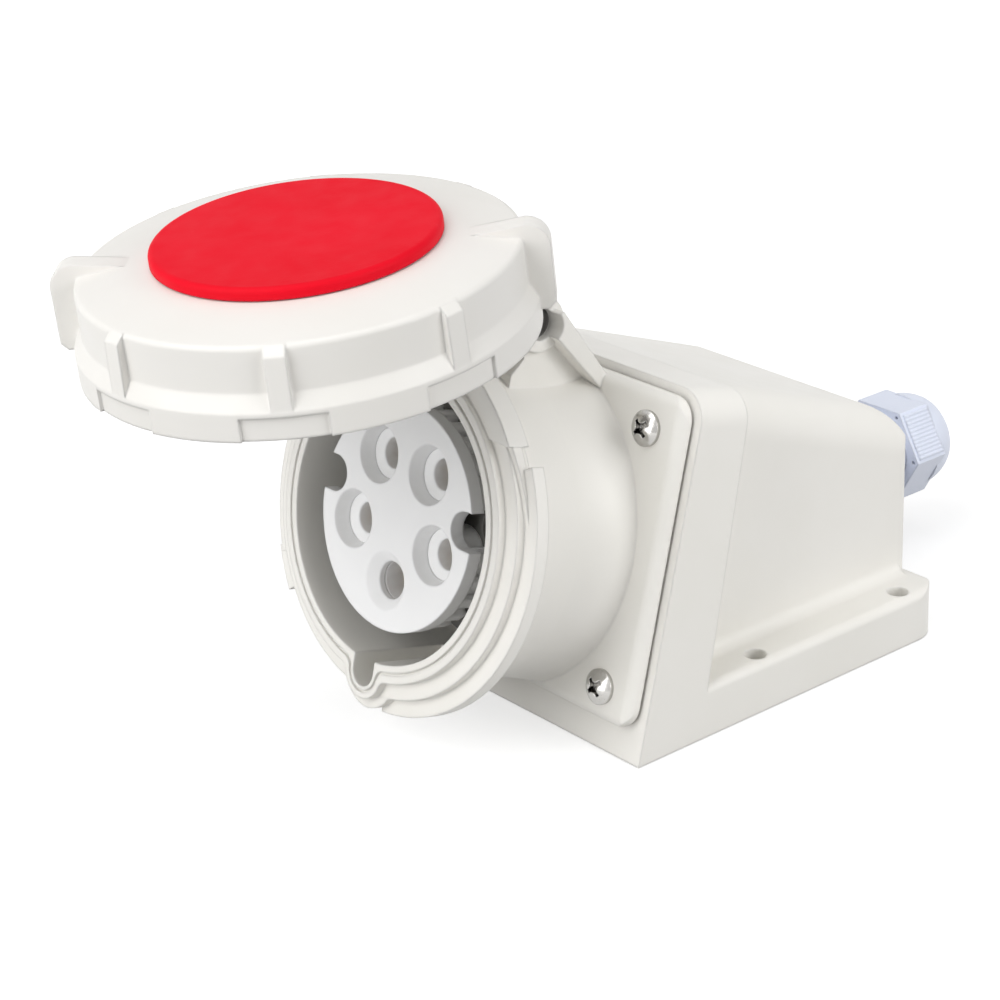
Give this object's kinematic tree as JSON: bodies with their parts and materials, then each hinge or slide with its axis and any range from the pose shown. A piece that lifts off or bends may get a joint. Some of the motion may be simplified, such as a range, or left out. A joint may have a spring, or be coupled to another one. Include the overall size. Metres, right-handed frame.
{
  "type": "wall mounted pin and sleeve socket",
  "caption": "Wall mounted pin and sleeve socket: sloped back box, keyed round mouth with contact holes, hinged bayonet lid with a red disc, and a cable gland at the rear.",
  "frame": {"origin": "middle of the four wall holes, on the wall face", "axes": "+Z out of the wall, -Y the way the socket looks, +Y to the cable gland, +X to the right of the socket's front"},
  "size_m": [0.0968, 0.2397, 0.1266],
  "materials": {
    "housing_white": "warm white moulded plastic, satin",
    "insert_white": "cool white moulded plastic, satin",
    "red": "red moulded plastic, half gloss",
    "rubber": "black rubber, matt",
    "brass": "turned brass",
    "steel": "nickel plated steel",
    "gland_grey": "bluish white nylon, satin"
  },
  "bodies": {
    "housing": {"back_box": "housing_white", "socket_shell": "housing_white", "plate_gasket": "rubber", "insert_face": "insert_white", "pin_guide": "insert_white", "contact_carrier": "insert_white", "terminal_block": "insert_white", "contact_l1": "brass", "contact_l2": "brass", "contact_l3": "brass", "contact_n": "brass", "contact_earth": "brass", "terminal_screws": "steel", "carrier_screws": "steel", "plate_screws": "steel", "hinge_pin": "steel", "gland_body": "gland_grey", "gland_washer": "rubber", "gland_bush": "rubber", "gland_nut": "gland_grey"},
    "lid": {"inner_lid": "housing_white", "lid_seal": "rubber", "lid_disc": "red", "disc_screws": "steel"},
    "ring": {"bayonet_ring": "housing_white"}
  },
  "joints": [
    {"name": "lid_hinge", "type": "hinge", "parent": "housing", "child": "lid", "pos_m": [0, -0.06188, 0.09462], "axis": [1, 0, 0], "range_deg": [-30, 69.7]},
    {"name": "ring_turn", "type": "hinge", "parent": "lid", "child": "ring", "pos_m": [0, -0.11099, 0.10942], "axis": [0, -0.0993, 0.9951], "range_deg": [-50, 0]}
  ]
}
